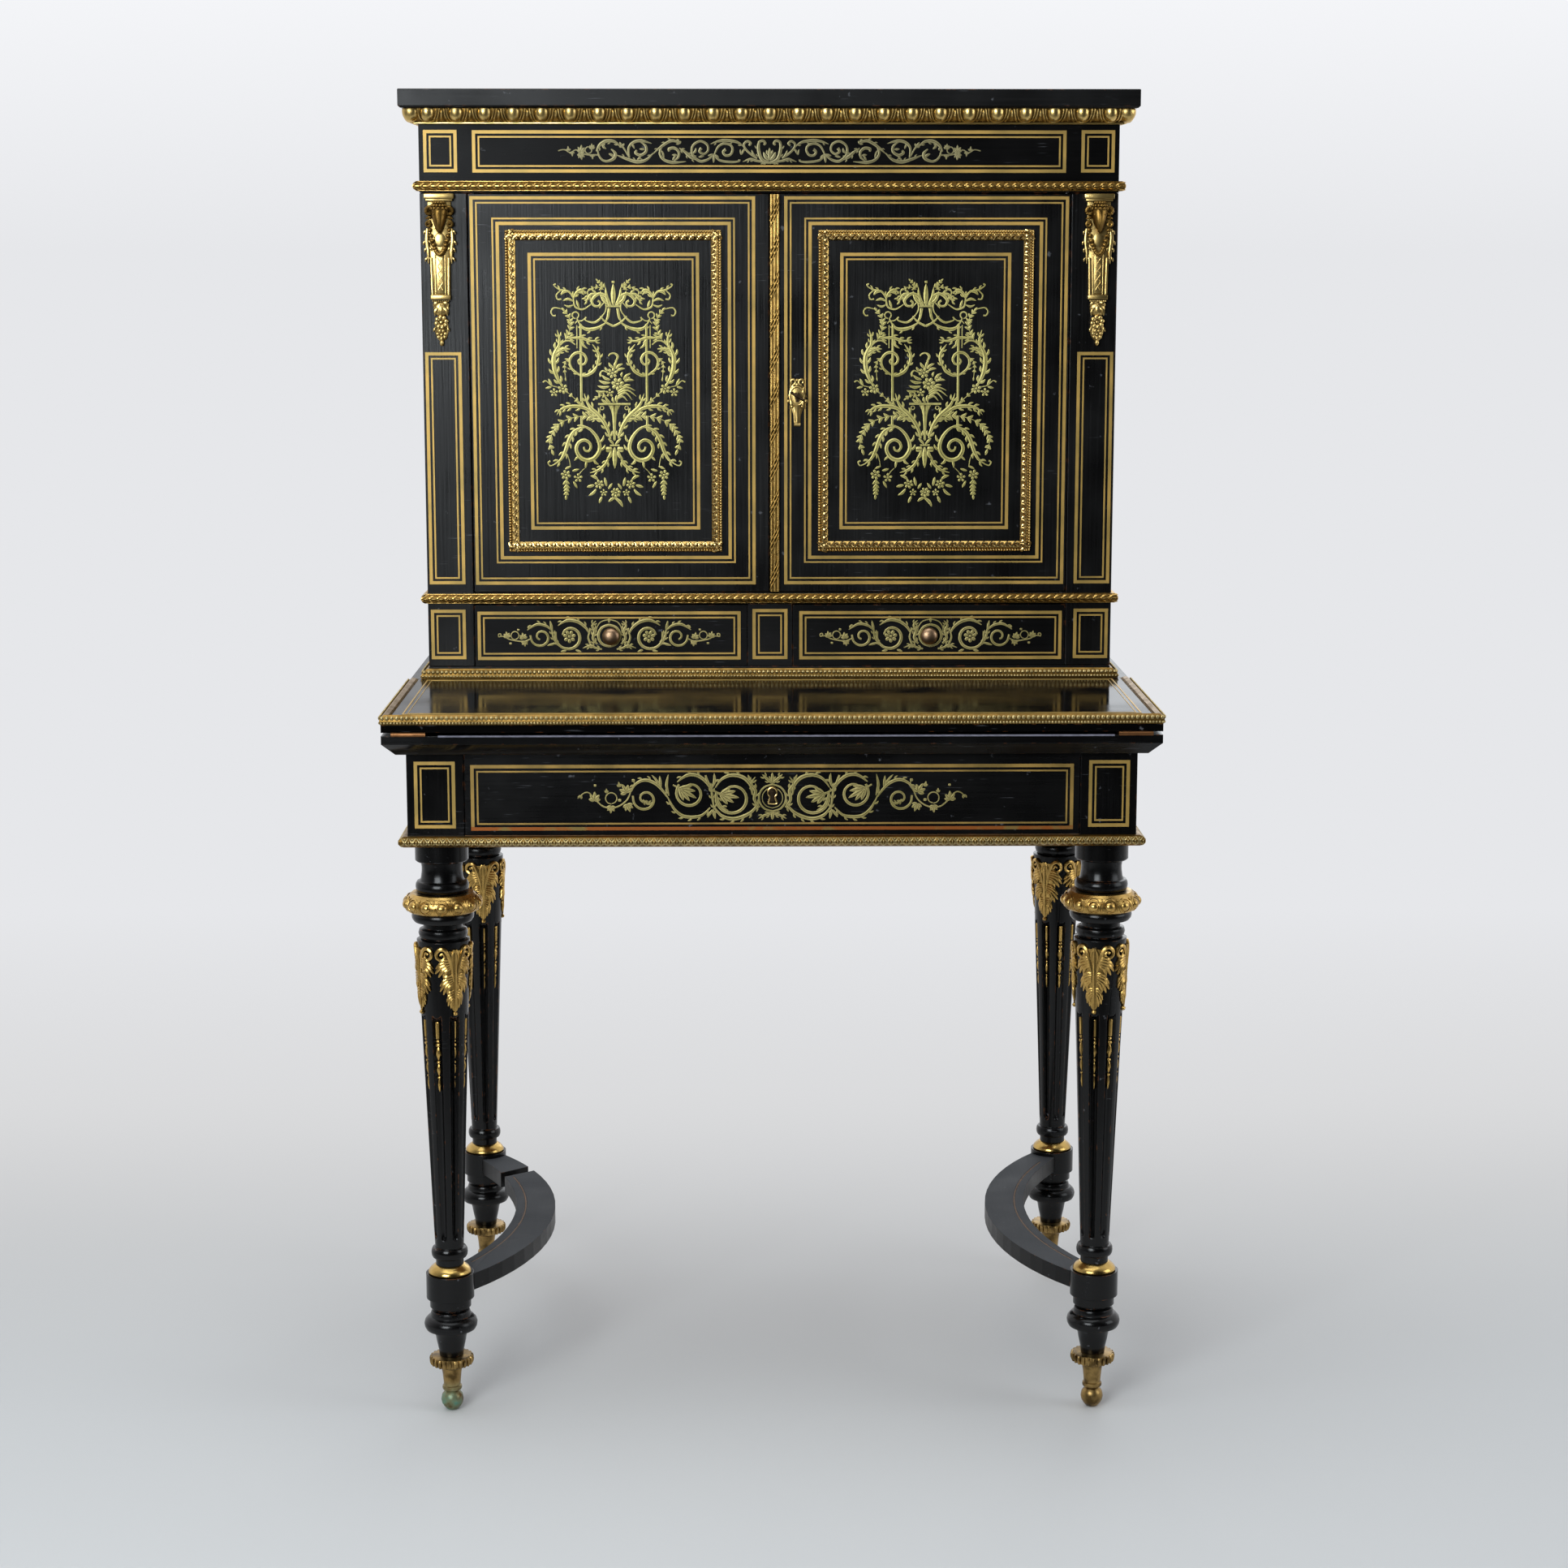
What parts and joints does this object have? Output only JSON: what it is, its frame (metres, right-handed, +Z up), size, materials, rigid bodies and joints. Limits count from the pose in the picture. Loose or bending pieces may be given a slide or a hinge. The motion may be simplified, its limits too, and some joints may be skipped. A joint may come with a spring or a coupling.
{
  "type": "writing desk with upper cabinet",
  "caption": "Lady's writing desk: fluted legs, curved side stretchers, fold-out leaf over a drawer, and an upper cabinet with doors and small drawers, ebonised with gilt mounts.",
  "frame": {"origin": "on the floor, in the middle of the desk's width and depth", "axes": "+Z up, +Y towards the back, +X to the right of someone facing the desk"},
  "size_m": [0.7724, 0.532, 1.3518],
  "materials": {
    "ebonised_wood": "worn French polish",
    "plain_wood": "waxed",
    "gilt_bronze": "chased and gilt, dark in the hollows",
    "worn_brass": "worn and tarnished",
    "dark_steel": "dark, oiled"
  },
  "bodies": {
    "desk": {"leg_front_left": "ebonised_wood", "leg_front_right": "ebonised_wood", "leg_rear_left": "ebonised_wood", "leg_rear_right": "ebonised_wood", "collar_front_left": "gilt_bronze", "collar_front_right": "gilt_bronze", "collar_rear_left": "gilt_bronze", "collar_rear_right": "gilt_bronze", "foot_front_left": "worn_brass", "foot_front_right": "worn_brass", "foot_rear_left": "worn_brass", "foot_rear_right": "worn_brass", "right_stretcher": "ebonised_wood", "left_stretcher": "ebonised_wood", "left_stretcher_stub": "ebonised_wood", "apron_block_left": "ebonised_wood", "apron_block_right": "ebonised_wood", "apron_side_left": "ebonised_wood", "apron_side_right": "ebonised_wood", "apron_back": "ebonised_wood", "apron_floor": "ebonised_wood", "apron_moulding": "gilt_bronze", "lower_slab": "ebonised_wood", "rear_board": "ebonised_wood", "leaf_hinge_left": "worn_brass", "leaf_hinge_right": "worn_brass", "cabinet_base": "ebonised_wood", "base_moulding": "gilt_bronze", "cabinet_side_left": "ebonised_wood", "cabinet_side_right": "ebonised_wood", "cabinet_back": "plain_wood", "stile_left": "ebonised_wood", "stile_right": "ebonised_wood", "drawer_divider": "ebonised_wood", "cupboard_floor": "ebonised_wood", "mid_moulding": "gilt_bronze", "shelf": "plain_wood", "frieze": "ebonised_wood", "frieze_moulding": "gilt_bronze", "cornice": "gilt_bronze", "top_slab": "ebonised_wood", "ram_mount_left": "gilt_bronze", "ram_mount_right": "gilt_bronze"},
    "writing_leaf": {"writing_leaf": "ebonised_wood", "leaf_moulding": "gilt_bronze"},
    "frieze_drawer": {"frieze_drawer": "ebonised_wood", "frieze_drawer_escutcheon": "gilt_bronze"},
    "left_door": {"left_door": "ebonised_wood", "left_door_bronze": "gilt_bronze"},
    "right_door": {"right_door": "ebonised_wood", "right_door_bronze": "gilt_bronze", "astragal": "gilt_bronze", "door_escutcheon": "gilt_bronze", "lock_case": "dark_steel"},
    "door_key": {"door_key": "dark_steel"},
    "lock_bolt": {"lock_bolt": "dark_steel"},
    "left_drawer": {"left_drawer": "ebonised_wood", "left_knob": "gilt_bronze"},
    "right_drawer": {"right_drawer": "ebonised_wood", "right_knob": "gilt_bronze"}
  },
  "joints": [
    {"name": "leaf_fold", "type": "hinge", "parent": "desk", "child": "writing_leaf", "pos_m": [0, -0.2638, 0.719], "axis": [1, 0, 0], "range_deg": [0, 180]},
    {"name": "frieze_drawer_slide", "type": "slide", "parent": "desk", "child": "frieze_drawer", "axis": [0, -1, 0], "range_m": [0, 0.3]},
    {"name": "left_door_swing", "type": "hinge", "parent": "desk", "child": "left_door", "pos_m": [-0.3108, 0.0185, 0.8286], "axis": [0, 0, -1], "range_deg": [0, 100]},
    {"name": "right_door_swing", "type": "hinge", "parent": "desk", "child": "right_door", "pos_m": [0.3108, 0.0185, 0.8286], "axis": [0, 0, 1], "range_deg": [0, 100]},
    {"name": "key_turn", "type": "hinge", "parent": "right_door", "child": "door_key", "pos_m": [0.029, 0.016, 1.0366], "axis": [0, -1, 0], "range_deg": [0, 360]},
    {"name": "bolt_slide", "type": "slide", "parent": "right_door", "child": "lock_bolt", "axis": [-1, 0, 0], "range_m": [0, 0.0091]},
    {"name": "left_drawer_slide", "type": "slide", "parent": "desk", "child": "left_drawer", "axis": [0, -1, 0], "range_m": [0, 0.15]},
    {"name": "right_drawer_slide", "type": "slide", "parent": "desk", "child": "right_drawer", "axis": [0, -1, 0], "range_m": [0, 0.15]}
  ],
  "couplings": [
    {"joint": "bolt_slide", "follows": "key_turn", "m_per_rad": 0.001432}
  ]
}
